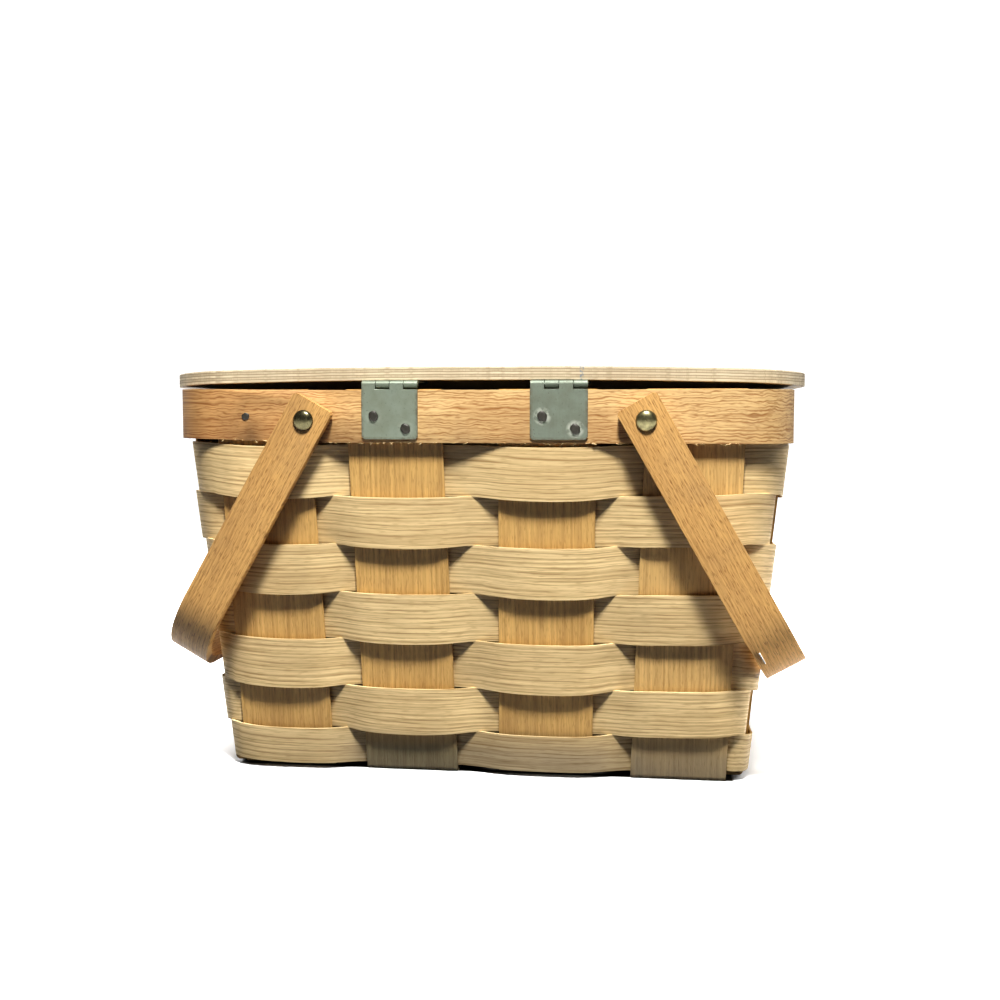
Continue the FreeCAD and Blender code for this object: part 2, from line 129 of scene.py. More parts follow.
class BasketSizes(bpy.types.PropertyGroup):
    """Sizes of the dressed pieces"""
    weaver_thick: length("Weaver thickness", "Thickness of a weaver", 0.9 * MM)
    weave_depth: length("Weave depth", "How far a weaver stands out at an upright", 3.2 * MM)
    corner_swing: length("Corner swing", "How far a weaver stands out where a corner starts", 1.7 * MM)
    crest_bulge: length("Crest bulge", "Extra bow of a weaver over an upright on the long sides", 0.9 * MM)
    crest_tilt: length("Crest tilt", "How much more the lower edge of a crest stands out", 0.5 * MM)
    low_edge_dip: length("Lower edge dip", "How far a crest's lower edge bows down", 1.9 * MM)
    high_edge_dip: length("Upper edge dip", "How far a crest's upper edge bows down", 0.9 * MM)
    row_sag: length("Row sag", "How far the upper rows have settled", 1.6 * MM)
    row_press: length("Row press", "How far a row's edge is pressed towards the next row", 0.3 * MM)
    front_drop: length("Front drop", "How far the lowest row sits lower on the front", 2.4 * MM)
    right_rise: length("Right rise", "How far the rows rise towards the back right corner", 1.7 * MM)
    corner_rise: length("Corner rise", "How far a weaver climbs at a corner", 1.6 * MM)
    splint_width: length("Upright width", "Width of an upright splint", 50.8 * MM)
    base_inset: length("Base inset", "How far the walls lean in at the base", 19.0 * MM)
    base_corner: length("Base corner", "Corner radius of the walls at the base", 8.0 * MM)
    wall_corner: length("Wall corner", "Corner radius of the walls under the rim", 19.4 * MM)
    wall_skin: length("Wall skin", "From the rim's face to the middle of the uprights", 4.6 * MM)
    band_round: length("Rim rounding", "Rounding of the rim bands' edges", 0.5 * MM)
    corner_lift: length("Corner lift", "How far the rim's back left corner is raised", 2.0 * MM)
    lid_round: length("Lid rounding", "Rounding of the lid's edges", 0.45 * MM)
    handle_round: length("Handle rounding", "Rounding of the handles' edges", 0.45 * MM)
    leaf_round: length("Leaf rounding", "Rounding of the hinge leaves' edges", 0.18 * MM)
    lid_thick: length("Lid thickness", "Thickness of the plywood", 7.0 * MM)
    lid_camber: length("Lid camber", "How far the lid's ends bow down", 2.4 * MM)
    lid_droop: length("Lid droop", "How much lower the lid's ends hang on the hinged side", 0.8 * MM)
    ink_x: length("Ink tick place", "Place of the small pen tick on the lid's hinged edge", 55.9 * MM)
    handle_reach: length("Handle reach", "From the rivet to the outer face of the grip", 152.0 * MM)
    handle_bend: length("Handle bend", "Outer radius of the handle's bends", 40.0 * MM)
    handle_lean: bpy.props.FloatProperty(name="Handle lean", description="Angle of a handle at rest",
                                         default=math.radians(29.655), subtype="ANGLE")
    rivet_head: length("Rivet head", "Height of a rivet's dome", 2.6 * MM)
    rivet_tail: length("Rivet tail", "Height of a rivet's inner end", 1.6 * MM)
    rivet_shank: length("Rivet shank", "Radius of a rivet's shank", 2.3 * MM)
    fibre_length: length("Fibre length", "Length of a torn fibre on the rim's lower edge", 2.8 * MM)
    staple_length: length("Staple length", "Length of the staple in the right handle", 8.0 * MM)


class BasketColours(bpy.types.PropertyGroup):
    """Colours of the finishes"""
    weaver_pale: colour("Weaver pale wood", "Early wood of the weavers", (0.88, 0.675, 0.355))
    weaver_dark: colour("Weaver dark wood", "Late wood of the weavers", (0.33, 0.20, 0.075))
    upright_pale: colour("Upright pale wood", "Early wood of the uprights", (0.69, 0.43, 0.148))
    upright_dark: colour("Upright dark wood", "Late wood of the uprights", (0.33, 0.18, 0.052))
    rim_pale: colour("Rim pale wood", "Early wood of the rim", (0.68, 0.465, 0.215))
    rim_dark: colour("Rim dark wood", "Ray flecks of the rim", (0.26, 0.115, 0.032))
    handle_pale: colour("Handle pale wood", "Early wood of the handles", (0.64, 0.375, 0.13))
    handle_dark: colour("Handle dark wood", "Late wood of the handles", (0.24, 0.115, 0.033))
    ply_pale: colour("Ply pale wood", "Face plies of the lid", (0.68, 0.57, 0.385))
    ply_dark: colour("Ply dark wood", "Glue lines and cross plies of the lid", (0.18, 0.12, 0.062))
    hinge_plate: colour("Hinge plating", "Worn plating of the hinges", (0.235, 0.27, 0.21))
    hinge_tarnish: colour("Hinge tarnish", "Tarnish on the hinges", (0.15, 0.155, 0.10))
    nail_iron: colour("Nail iron", "Dark iron of the nail heads", (0.03, 0.027, 0.02))
    rivet_brass: colour("Rivet brass", "Aged brass of the rivets", (0.27, 0.24, 0.125))


def user_values(context):
    return context.scene.basket_sizes, context.scene.basket_colours


# Mesh helpers

def only(obj):
    bpy.ops.object.select_all(action="DESELECT")
    obj.select_set(True)
    bpy.context.view_layer.objects.active = obj


@contextmanager
def editing(obj):
    """Edit mode with everything selected, and back."""
    only(obj)
    bpy.ops.object.mode_set(mode="EDIT")
    bpy.ops.mesh.select_all(action="SELECT")
    yield
    bpy.ops.object.mode_set(mode="OBJECT")


def apply(obj, kind, **settings):
    """Add a modifier with these settings and apply it."""
    only(obj)
    modifier = obj.modifiers.new(kind.title(), kind)
    for key, value in settings.items():
        setattr(modifier, key, value)
    bpy.ops.object.modifier_apply(modifier=modifier.name)


def primitive(kind, name, **settings):
    bpy.ops.object.select_all(action="DESELECT")
    getattr(bpy.ops.mesh, "primitive_%s_add" % kind)(location=(0, 0, 0), **settings)
    obj = bpy.context.object
    obj.name = name
    return obj


def smooth(obj, degrees=35):
    only(obj)
    bpy.ops.object.shade_smooth_by_angle(angle=math.radians(degrees))


def dressed_copy(node, name, rounding, rolled=False):
    """A merged copy of a CAD node with rounded edges, or with a plain chamfer if it has rolled parts."""
    mesh = NODES[node].data.copy()
    mesh.name = name
    mesh.materials.clear()
    obj = bpy.data.objects.new(name, mesh)
    bpy.context.scene.collection.objects.link(obj)
    with editing(obj):
        bpy.ops.mesh.customdata_custom_splitnormals_clear()
        bpy.ops.mesh.remove_doubles(threshold=2e-6)
        bpy.ops.mesh.dissolve_limited(angle_limit=math.radians(0.5))
    apply(obj, "BEVEL", width=rounding, segments=1 if rolled else 2, limit_method="ANGLE",
          angle_limit=math.radians(40))
    smooth(obj, 25 if rolled else 35)
    if not rolled:
        apply(obj, "WEIGHTED_NORMAL", keep_sharp=True, weight=90)
    return obj


def finish_piece(obj, material, body, slot, *replaced):
    obj.data.materials.clear()
    obj.data.materials.append(material)
    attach(obj, body)
    if replaced:
        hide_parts(*replaced)
    return obj


def dress_node(name, material):
    for slot in NODES[name].material_slots:
        slot.material = material


# Material helpers

def put(tree, kind, inputs=None, **settings):
    """Add a node, set it, and set or link its inputs."""
    node = tree.nodes.new(kind)
    for key, value in settings.items():
        setattr(node, key, value)
    for key, value in (inputs or {}).items():
        if isinstance(value, bpy.types.NodeSocket):
            tree.links.new(value, node.inputs[key])
        else:
            node.inputs[key].default_value = value
    return node


def sums(tree, operation, a, b=0.0, c=0.0):
    return put(tree, "ShaderNodeMath", {0: a, 1: b, 2: c}, operation=operation).outputs[0]


def times(tree, a, b):
    return sums(tree, "MULTIPLY", a, b)


def blend(tree, factor, a, b, mode="MIX"):
    node = put(tree, "ShaderNodeMix", {"Factor": factor}, data_type="RGBA", blend_type=mode)
    for socket, value in ((node.inputs[6], a), (node.inputs[7], b)):
        if isinstance(value, bpy.types.NodeSocket):
            tree.links.new(value, socket)
        else:
            socket.default_value = rgba(value)
    return node.outputs[2]


def spread(tree, value, low, high, to_low=0.0, to_high=1.0):
    """Stretch a value between two limits."""
    node = put(tree, "ShaderNodeMapRange", {"Value": value, "From Min": low, "From Max": high,
                                            "To Min": to_low, "To Max": to_high}, clamp=True)
    return node.outputs["Result"]


def noise(tree, vector, detail=2.0, roughness=0.55, scale=1.0):
    return put(tree, "ShaderNodeTexNoise", {"Vector": vector, "Scale": scale, "Detail": detail,
                                            "Roughness": roughness}).outputs["Fac"]


def own_place(tree):
    """The place of a point on its own piece."""
    return put(tree, "ShaderNodeTexCoord").outputs["Object"]


def axes_of(tree, vector):
    return put(tree, "ShaderNodeSeparateXYZ", {0: vector}).outputs


def map_axis(tree, name, axis):
    return axes_of(tree, put(tree, "ShaderNodeUVMap", uv_map=name).outputs[0])[axis]


def rgba(values):
    return (values[0], values[1], values[2], 1.0)


def new_group(name, inputs, outputs):
    group = bpy.data.node_groups.new(name, "ShaderNodeTree")
    for label, kind, default in inputs:
        socket = group.interface.new_socket(label, in_out="INPUT", socket_type=kind)
        if default is not None:
            socket.default_value = default
    for label, kind in outputs:
        group.interface.new_socket(label, in_out="OUTPUT", socket_type=kind)
    return group, put(group, "NodeGroupInput").outputs, put(group, "NodeGroupOutput").inputs


def send(group, out, *values):
    """Link a group's results to its outputs, in their order."""
    for value, socket in zip(values, out):
        group.links.new(value, socket)


METAL_VALUES = ("Cloud scale", "Cloud strength", "Speck strength")
METALS = {"hinge": (90.0, 0.55, 0.6), "wire": (300.0, 0.4, 0.2), "brass": (260.0, 0.8, 0.5),
          "iron": (400.0, 0.6, 0.6)}
SHINE = {"hinge": 0.55, "wire": 0.0, "brass": 0.9, "iron": 0.4}
FLOAT, COLOR, VECTOR = "NodeSocketFloat", "NodeSocketColor", "NodeSocketVector"
GRAIN_VALUES = ("Lines", "Slope", "Sway", "Zigzag", "Zigzags", "Sharpness", "Line strength", "Streaks",
                "Streak strength", "Dash strength", "Patch strength")
GRAINS = {
    "weaver": (400.0, 9.0, 2.6, 0.5, 90.0, 3.2, 1.0, 900.0, 0.6, 0.4, 0.34),
    "upright": (330.0, 0.0, 2.0, 0.2, 40.0, 4.0, 0.45, 620.0, 0.5, 0.45, 0.4),
    "rim": (560.0, 0.0, 3.0, 1.9, 120.0, 2.0, 1.0, 1200.0, 0.3, 0.6, 0.5),
    "fibre": (500.0, 0.0, 2.0, 0.4, 110.0, 3.0, 0.2, 1000.0, 0.2, 0.1, 0.2),
    "left_handle": (520.0, -14.0, 1.6, 0.5, 100.0, 2.5, 0.6, 1300.0, 0.4, 0.8, 0.3),
    "right_handle": (520.0, 14.0, 1.6, 0.5, 100.0, 2.5, 0.6, 1300.0, 0.4, 0.8, 0.3),
    "ply": (160.0, 0.0, 3.0, 0.4, 60.0, 3.0, 0.4, 700.0, 0.3, 0.3, 0.2),
    "cross_ply": (60.0, 0.0, 2.0, 0.4, 110.0, 3.0, 0.1, 300.0, 0.2, 0.2, 0.35),
}


def wood_grain_group():
    """Grain of a thin splint. Grain is (along, across, depth) in metres."""
    inputs = [("Grain", VECTOR, None), ("Pale", COLOR, None), ("Dark", COLOR, None)]
    inputs += [(name, FLOAT, None) for name in GRAIN_VALUES]
    group, given, out = new_group("Splint grain", inputs,
                                  [("Color", COLOR), ("Roughness", FLOAT), ("Height", FLOAT)])
    along, across, depth = axes_of(group, given["Grain"])

    def place(a, b):
        return put(group, "ShaderNodeCombineXYZ", {"X": times(group, along, a),
                                                   "Y": b, "Z": depth}).outputs[0]

    def wander(value, reach):
        return times(group, sums(group, "SUBTRACT", value, 0.5), reach)

    ring = sums(group, "MULTIPLY_ADD", along, given["Slope"], times(group, across, given["Lines"]))
    sway = wander(noise(group, place(10.0, times(group, across, 45.0)), 2.0), given["Sway"])
    zigzag = wander(noise(group, place(given["Zigzags"], times(group, ring, 0.35)), 1.0), given["Zigzag"])
    ring = sums(group, "ADD", ring, sums(group, "ADD", sway, zigzag))
    spacing = wander(noise(group, place(5.0, times(group, ring, 0.5)), 1.0), 1.8)
    ring = sums(group, "ADD", ring, spacing)
    beside = sums(group, "MULTIPLY_ADD", sums(group, "FRACT", ring), 2.0, -1.0)
    beside = sums(group, "ABSOLUTE", beside)
    lines = sums(group, "POWER", sums(group, "SUBTRACT", 1.0, beside), given["Sharpness"])
    broken = spread(group, noise(group, place(75.0, times(group, ring, 1.3)), 1.0), 0.34, 0.62, 0.25, 1.0)
    lines = times(group, lines, broken)
    streaks = noise(group, place(24.0, times(group, across, given["Streaks"])), 3.0, 0.65)
    streaks = spread(group, streaks, 0.36, 0.68)
    dashes = spread(group, noise(group, place(230.0, times(group, across, 1700.0)), 1.0), 0.55, 0.70)
    patch = spread(group, noise(group, place(9.0, times(group, across, 36.0)), 3.0), 0.45, 0.72)
    tone = given["Pale"]
    for mask, kind in ((patch, "Patch"), (streaks, "Streak"), (lines, "Line"), (dashes, "Dash")):
        tone = blend(group, times(group, mask, given[kind + " strength"]), tone, given["Dark"])
    height = sums(group, "MULTIPLY_ADD", streaks, -0.4, times(group, lines, -0.7))
    send(group, out, tone, spread(group, streaks, 0.0, 1.0, 0.48, 0.68),
         sums(group, "MULTIPLY_ADD", dashes, -0.7, height))
    return group


def ply_group():
    """Layers of a bowed plywood panel: which plies run across, and where the glue lines are."""
    group, given, out = new_group("Ply layers", [
        ("Under", FLOAT, 0.2143), ("Bow", FLOAT, 0.08), ("Fall", FLOAT, 0.011), ("Thickness", FLOAT, 0.007),
        ("Plies", FLOAT, 5.0)], [("Cross ply", FLOAT), ("Glue", FLOAT)])
    place = own_place(group)
    along, across, up = axes_of(group, place)
    bowed = sums(group, "MULTIPLY_ADD", times(group, along, along), given["Bow"], up)
    level = sums(group, "MULTIPLY_ADD", across, given["Fall"], bowed)
    level = sums(group, "SUBTRACT", level, given["Under"])
    rough = sums(group, "SUBTRACT", noise(group, place, 3.0, 0.5, 60.0), 0.5)
    level = sums(group, "MULTIPLY_ADD", rough, 0.7 * MM, level)
    layer = times(group, sums(group, "DIVIDE", level, given["Thickness"]), given["Plies"])
    within = sums(group, "ABSOLUTE", sums(group, "SUBTRACT", sums(group, "FRACT", layer), 0.5))
    odd = sums(group, "MODULO", sums(group, "FLOOR", layer), 2.0)
    inside = sums(group, "LESS_THAN", sums(group, "ABSOLUTE", sums(group, "SUBTRACT", layer, 2.5)), 2.35)
    send(group, out, times(group, odd, inside), times(group, spread(group, within, 0.36, 0.46), inside))
    return group


def soil_and_foot_shade_group():
    """Handling dirt in patchy blotches, and darkening towards the base that is partly dirt and partly
    painted shade.
    """
    group, given, out = new_group("Handling soil and foot shade", [
        ("Color", COLOR, None), ("Soil", COLOR, (0.13, 0.105, 0.075, 1.0)), ("Amount", FLOAT, 0.25),
        ("Base soil and shade", FLOAT, 0.3)], [("Color", COLOR)])
    place = own_place(group)
    cloud = noise(group, place, 4.0, 0.6, 26.0)
    height = axes_of(group, place)[2]
    # darker towards the base: partly dirt, partly painted shade where the feet and lowest row lie in shadow
    low = spread(group, height, 0.034, 0.004)
    share = times(group, spread(group, cloud, 0.5, 0.8), given["Amount"])
    share = sums(group, "MULTIPLY_ADD", low, given["Base soil and shade"], share)
    send(group, out, blend(group, share, given["Color"], given["Soil"]))
    return group


def tarnish_group():
    """Worn plating: clouded patches, fine scratches and dark specks."""
    group, given, out = new_group("Worn metal", [
        ("Clean", COLOR, None), ("Tarnish", COLOR, None), ("Cloud scale", FLOAT, 120.0),
        ("Cloud strength", FLOAT, 0.6), ("Speck strength", FLOAT, 0.5), ("Dullness", FLOAT, 0.2)],
        [("Color", COLOR), ("Roughness", FLOAT), ("Height", FLOAT)])
    place = own_place(group)
    cloud = noise(group, place, 5.0, 0.6, given["Cloud scale"])
    specks = noise(group, place, 2.0, 0.5, 900.0)
    flat = put(group, "ShaderNodeMapping", {"Vector": place, "Scale": (900.0, 900.0, 60.0)}).outputs[0]
    scratches = noise(group, flat)
    share = times(group, spread(group, cloud, 0.38, 0.72), given["Cloud strength"])
    tone = blend(group, share, given["Clean"], given["Tarnish"])
    specks = times(group, spread(group, specks, 0.64, 0.74), given["Speck strength"])
    rough = sums(group, "MULTIPLY_ADD", cloud, 0.25, given["Dullness"])
    send(group, out, blend(group, specks, tone, SPECK), sums(group, "MULTIPLY_ADD", scratches, 0.18, rough),
         sums(group, "MULTIPLY_ADD", scratches, 0.5, times(group, specks, -1.0)))
    return group


GROUPS = {}


def use(tree, name, inputs):
    """Add a shared node group, which is made at its first use."""
    makers = {"grain": wood_grain_group, "ply": ply_group, "soil_and_shade": soil_and_foot_shade_group, "metal": tarnish_group}
    if name not in GROUPS:
        GROUPS[name] = makers[name]()
    return put(tree, "ShaderNodeGroup", inputs, node_tree=GROUPS[name]).outputs


def new_material(name):
    material = bpy.data.materials.new(name)
    material.use_nodes = True
    tree = material.node_tree
    return material, tree, tree.nodes["Principled BSDF"]


def dress_shader(tree, shader, tone, look, strength, relief_mm):
    """Feed a shader with a colour, and with a look's roughness and relief."""
    tree.links.new(tone, shader.inputs["Base Color"])
    tree.links.new(look["Roughness"], shader.inputs["Roughness"])
    bump = put(tree, "ShaderNodeBump", {"Height": look["Height"], "Strength": strength,
                                        "Distance": relief_mm * MM})
    tree.links.new(bump.outputs[0], shader.inputs["Normal"])


def grain_look(tree, grain, space, pale, dark):
    inputs = dict(zip(GRAIN_VALUES, GRAINS[grain]), Grain=space, Pale=rgba(pale), Dark=rgba(dark))
    return use(tree, "grain", inputs)


def object_grain(tree, along, across, depth):
    """Grain space from the piece's own place, by three directions."""
    place = own_place(tree)
    parts = [put(tree, "ShaderNodeVectorMath", {0: place, 1: way}, operation="DOT_PRODUCT").outputs["Value"]
             for way in (along, across, depth)]
    return put(tree, "ShaderNodeCombineXYZ", dict(enumerate(parts))).outputs[0]


def wood(name, grain, pale, dark, axes=None, soil_and_shade=(0.25, 0.3), relief_mm=0.10):
    """Splint wood. Without axes the grain follows the piece's UV map, in metres."""
    material, tree, shader = new_material(name)
    if axes:
        space = object_grain(tree, *axes)
    else:
        space = put(tree, "ShaderNodeUVMap", uv_map="Grain").outputs[0]
    look = grain_look(tree, grain, space, pale, dark)
    # the second share darkens the base: partly dirt, partly painted shade
    tone = use(tree, "soil_and_shade", {"Color": look["Color"], "Amount": soil_and_shade[0], "Base soil and shade": soil_and_shade[1]})["Color"]
    shader.inputs["Specular IOR Level"].default_value = 0.3
    dress_shader(tree, shader, tone, look, 0.6, relief_mm)
    return material


def feed_of(finish):
    """A finish's tree, its colour input, and what feeds that."""
    tree = finish.node_tree
    socket = tree.nodes["Principled BSDF"].inputs["Base Color"]
    return tree, socket, socket.links[0].from_socket


def overlay(finish, mask, tint):
    """Multiply a finish by a tint where the mask, made in its own tree, is set."""
    tree, socket, tone = feed_of(finish)
    tinted = blend(tree, 1.0, tone, tint, "MULTIPLY")
    tree.links.new(blend(tree, mask(tree), tone, tinted), socket)


def painted_foot_shade(tree):
    """Mask of painted shade round the middle of the back wall's foot, where the lowest row and the uprights'
    feet lie in shadow.
    """
    along, depth, height = axes_of(tree, own_place(tree))
    middle = spread(tree, sums(tree, "ABSOLUTE", along), 0.09, 0.065)
    low, back = spread(tree, height, 0.026, 0.012), spread(tree, depth, -0.05, -0.09)
    return times(tree, middle, times(tree, low, back))


def ramp(axis, low, high):
    """A mask that rises along one of the piece's own axes."""
    return lambda tree: spread(tree, axes_of(tree, own_place(tree))[axis], low, high)


last_upright = ramp(0, 0.075, 0.085)  # the long-side upright on the right


def right_foot(tree):
    """Mask of that upright's grey foot."""
    return times(tree, last_upright(tree), ramp(2, 0.03, 0.012)(tree))


def metal(name, kind, clean, tarnish, dullness=0.2, relief_mm=0.05):
    material, tree, shader = new_material(name)
    look = use(tree, "metal", dict(zip(METAL_VALUES, METALS[kind]), Clean=rgba(clean),
                                   Tarnish=rgba(tarnish), Dullness=dullness))
    shader.inputs["Metallic"].default_value = SHINE[kind]
    dress_shader(tree, shader, look["Color"], look, 0.4, relief_mm)
    return material


def plywood(sizes, tints):
    """Face plies with grain along the lid, darker cross plies and glue lines on its edge."""
    finish = wood("lid_plywood", "ply", tints.ply_pale, tints.ply_dark,
                  axes=((1, 0, 0), (0, 1, 0), (0, 0, 1)), soil_and_shade=(0.15, 0.0))
    tree, socket, tone = feed_of(finish)
    low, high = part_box("lid_panel")
    fall = math.tan(LID_FALL)
    under = high.z - sizes.lid_thick + fall * low.y
    layers = use(tree, "ply", {"Under": under, "Bow": sizes.lid_camber / high.x ** 2, "Fall": fall,
                               "Thickness": sizes.lid_thick})
    across = object_grain(tree, (0, 1, 0), (1, 0, 0), (0, 0, 1))
    cross = grain_look(tree, "cross_ply", across, tints.ply_pale, tints.ply_dark)["Color"]
    tone = blend(tree, layers["Cross ply"], tone, blend(tree, 0.3, cross, tints.ply_dark))
    tone = blend(tree, layers["Glue"], tone, tints.ply_dark)
    place = own_place(tree)
    along, depth, _ = axes_of(tree, place)
    beside = sums(tree, "ABSOLUTE", sums(tree, "SUBTRACT", along, sizes.ink_x))
    tick = times(tree, spread(tree, beside, 1.3 * MM, 0.6 * MM), spread(tree, depth, -0.1165, -0.1172))
    patchy = spread(tree, noise(tree, place, 2.0, 0.5, 700.0), 0.38, 0.6, 0.0, 0.7)
    tree.links.new(blend(tree, times(tree, tick, patchy), tone, INK), socket)
    return finish


# Weavers

def wall_plan(z, sizes):
    """Half length, half depth and corner radius of the wall's middle surface at heights z."""
    growth = np.clip(z / WEAVE_TOP, 0.0, 1.0)
    inset = sizes.base_inset * (1 - growth)
    corner = sizes.base_corner + (sizes.wall_corner - sizes.base_corner) * growth
    return RIM_HIGH.x - sizes.wall_skin - inset, RIM_HIGH.y - sizes.wall_skin - inset, corner


def upright_centres(names, axis, z):
    top = RIM_HIGH.z
    centres = []
    for name in names:
        low = centre_between(name, axis, -1, 0.006)
        high = centre_between(name, axis, top - 0.03, 1)
        centres.append(low + (high - low) * z / top)
    return sorted(centres)


def ease(t):
    t = min(max(t, 0.0), 1.0)
    return t * t * (3 - 2 * t)


def crest_profile(x, centres, swings, half_straight, sizes):
    """Stand-out of a weaver at a place along a wall, and how far up the crest it is."""
    depth = sizes.weave_depth
    knots = []
    for i, centre in enumerate(centres):
        for step in (-1, 1):
            j = i + step if 0 <= i + step < len(centres) else i - step
            gap = abs(centres[j] - centre) - sizes.splint_width
            knots.append((centre + step * (sizes.splint_width / 2 - 0.4 * gap), swings[i] * depth))
    knots = [(-half_straight, swings[0] * sizes.corner_swing)] + knots
    knots.append((half_straight, swings[-1] * sizes.corner_swing))
    stand = knots[-1][1]
    for (x0, a), (x1, b) in zip(knots, knots[1:]):
        if x <= x1:
            stand = a + (b - a) * ease((x - x0) / (x1 - x0))
            break
    nearest = min(range(len(centres)), key=lambda i: abs(centres[i] - x))
    rise = 0.0
    if swings[nearest] > 0:
        span = (centres[1] - centres[0]) / 2
        rise = max(0.0, 1 - ((x - centres[nearest]) / span) ** 2)
    return stand, rise


# A station of a ring: its wall, its place along that or its turn in degrees, stand-out and crest
Column = namedtuple("Column", "wall place turn stand rise deep")


def weaver_columns(z_mid, first_out, sizes):
    """Stations round the ring, from its lap on the front."""
    half_x, half_y, corner = wall_plan(z_mid, sizes)
    longs = upright_centres(LONG_SPLINTS, 0, z_mid)
    ends = upright_centres(END_SPLINTS, 1, z_mid)
    walls = [(longs, half_x - corner, True), (ends, half_y - corner, False),
             ([-c for c in reversed(longs)], half_x - corner, True),
             ([-c for c in reversed(ends)], half_y - corner, False)]
    swing = 1 if first_out else -1
    columns = []
    for wall, (centres, half, deep) in enumerate(walls):
        swings = [swing * (-1) ** i for i in range(len(centres))]
        count = round(2 * half / STATION)
        for x in np.linspace(-half, half, count + 1):
            stand, rise = crest_profile(x, centres, swings, half, sizes)
            columns.append(Column(wall, x / half, None, stand, rise, deep))
        swing = -swings[-1]
        for turn in np.linspace(0, 90, CORNER_STEPS + 1)[1:-1]:
            stand = -swing * sizes.corner_swing * (1 - turn / 45)
            columns.append(Column(wall, None, turn, stand, 0.0, False))
    behind = [i for i, column in enumerate(columns)
              if column.wall == FRONT and column.stand < -0.999 * sizes.weave_depth]
    lap = behind[LAP_STATION]
    columns = columns[lap:] + columns[:lap]
    columns.append(columns[0])
    return columns


WALL_ALONG = [Vector((1, 0, 0)), Vector((0, 1, 0)), Vector((-1, 0, 0)), Vector((0, -1, 0))]
WALL_OUT = [Vector((0, -1, 0)), Vector((1, 0, 0)), Vector((0, 1, 0)), Vector((-1, 0, 0))]


def weaver_point(column, z, share, sizes):
    wall, place, turn, stand, rise, deep = column
    half_x, half_y, corner = wall_plan(z, sizes)
    reach, out = (half_x, half_y) if wall % 2 == 0 else (half_y, half_x)
    if deep:
        stand += rise * (sizes.crest_bulge + sizes.crest_tilt * (1 - 2 * share))
    if turn is None:
        point = WALL_ALONG[wall] * (place * (reach - corner)) + WALL_OUT[wall] * (out + stand)
    else:
        angle = math.radians(turn)
        hub = WALL_ALONG[wall] * (reach - corner) + WALL_OUT[wall] * (out - corner)
        spoke = WALL_OUT[wall] * math.cos(angle) + WALL_ALONG[wall] * math.sin(angle)
        point = hub + spoke * (corner + stand)
    return (point.x, point.y, z)


def settled(z, sizes):
    """How far a row's edge has dropped: not at the base, fully from two rows up, half under the rim."""
    lowest_top, row_pitch = 23.6 * MM, 26 * MM
    share = 0.5 if z > WEAVE_TOP - MM else min(1.0, max(0.0, (z - lowest_top) / row_pitch))
    return sizes.row_sag * share


def corner_climb(column):
    """0 along a wall to 1 at the middle of a corner."""
    at_bend, start = 0.75, 0.72
    if column.place is None:
        return 1.0 - (1 - at_bend) * abs(column.turn - 45) / 45
    return at_bend * max(0.0, (abs(column.place) - start) / (1 - start)) ** 2


def to_right(column):
    """0 along most of the ring to 1 at the last upright of the back wall and its corner."""
    start, run = 0.4, 0.35
    if column.wall != BACK:
        return 0.0
    if column.place is None:
        return 1 - ease(column.turn / 90)
    return ease((column.place - start) / run)


def weave_row(row, sizes):
    """One weaver: a grid wrapped round the uprights, closed and given its thickness."""
    low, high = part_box(WEAVERS[row - 1])
    lowest = row == len(WEAVERS)
    columns = weaver_columns((low.z + high.z) / 2, row % 2 == 1, sizes)
    chance = random.Random(40 + row)
    drift = [chance.uniform(-0.15, 0.15) * MM for _ in range(4)]
    obj = primitive("grid", "woven_row_%d" % row, x_subdivisions=len(columns) - 1, y_subdivisions=ROW_CELLS,
                    size=1.0)
    mesh = obj.data
    flat = np.empty(len(mesh.vertices) * 3)
    mesh.vertices.foreach_get("co", flat)
    flat = flat.reshape(-1, 3)
    stations = np.rint((flat[:, 0] + 0.5) * (len(columns) - 1)).astype(int)
    shares = flat[:, 1] + 0.5
    placed = np.empty_like(flat)
    for v, (station, share) in enumerate(zip(stations, shares)):
        column = columns[station]
        right = to_right(column)
        rise = column.rise * (1 - RIGHT_FLATTER * right)
        column = column._replace(rise=rise)
        climb = corner_climb(column) * sizes.corner_rise
        lift = right * sizes.right_rise
        dip = sizes.low_edge_dip * rise * min(1.0, low.z / (20 * MM))
        bottom = low.z - settled(low.z, sizes) - dip + climb
        bottom += lift * (0.5 if lowest else 1.0) - sizes.row_press
        if lowest and column.wall == FRONT and column.place is not None:
            bottom -= sizes.front_drop * (1 - column.place ** 6)
        top = high.z - settled(high.z, sizes) - sizes.high_edge_dip * rise + climb + sizes.row_press
        top += 0.0 if row == 1 else lift
        wander = drift[column.wall] * math.sin(math.pi * (1.0 if column.place is None else column.place))
        z = bottom + (top - bottom) * share + wander
        placed[v] = weaver_point(column, z, share, sizes)
    mesh.vertices.foreach_set("co", placed.ravel())
    mesh.uv_layers[0].name = "Grain"
    # a map across the weaver, used to paint a highlight on its upper edge
    mesh.uv_layers.new(name="Edge")
    ring = 2.05 * (RIM_HIGH.x + RIM_HIGH.y)
    for item in mesh.uv_layers["Grain"].data:
        item.uv = (item.uv[0] * ring + row * 3.1, item.uv[1] * (high.z - low.z) + row * 0.37)
    with editing(obj):
        bpy.ops.mesh.remove_doubles(threshold=1e-6)
        bpy.ops.mesh.normals_make_consistent(inside=False)
    apply(obj, "SOLIDIFY", thickness=sizes.weaver_thick, offset=0.0, use_even_offset=True)
    smooth(obj, 40)
    return obj


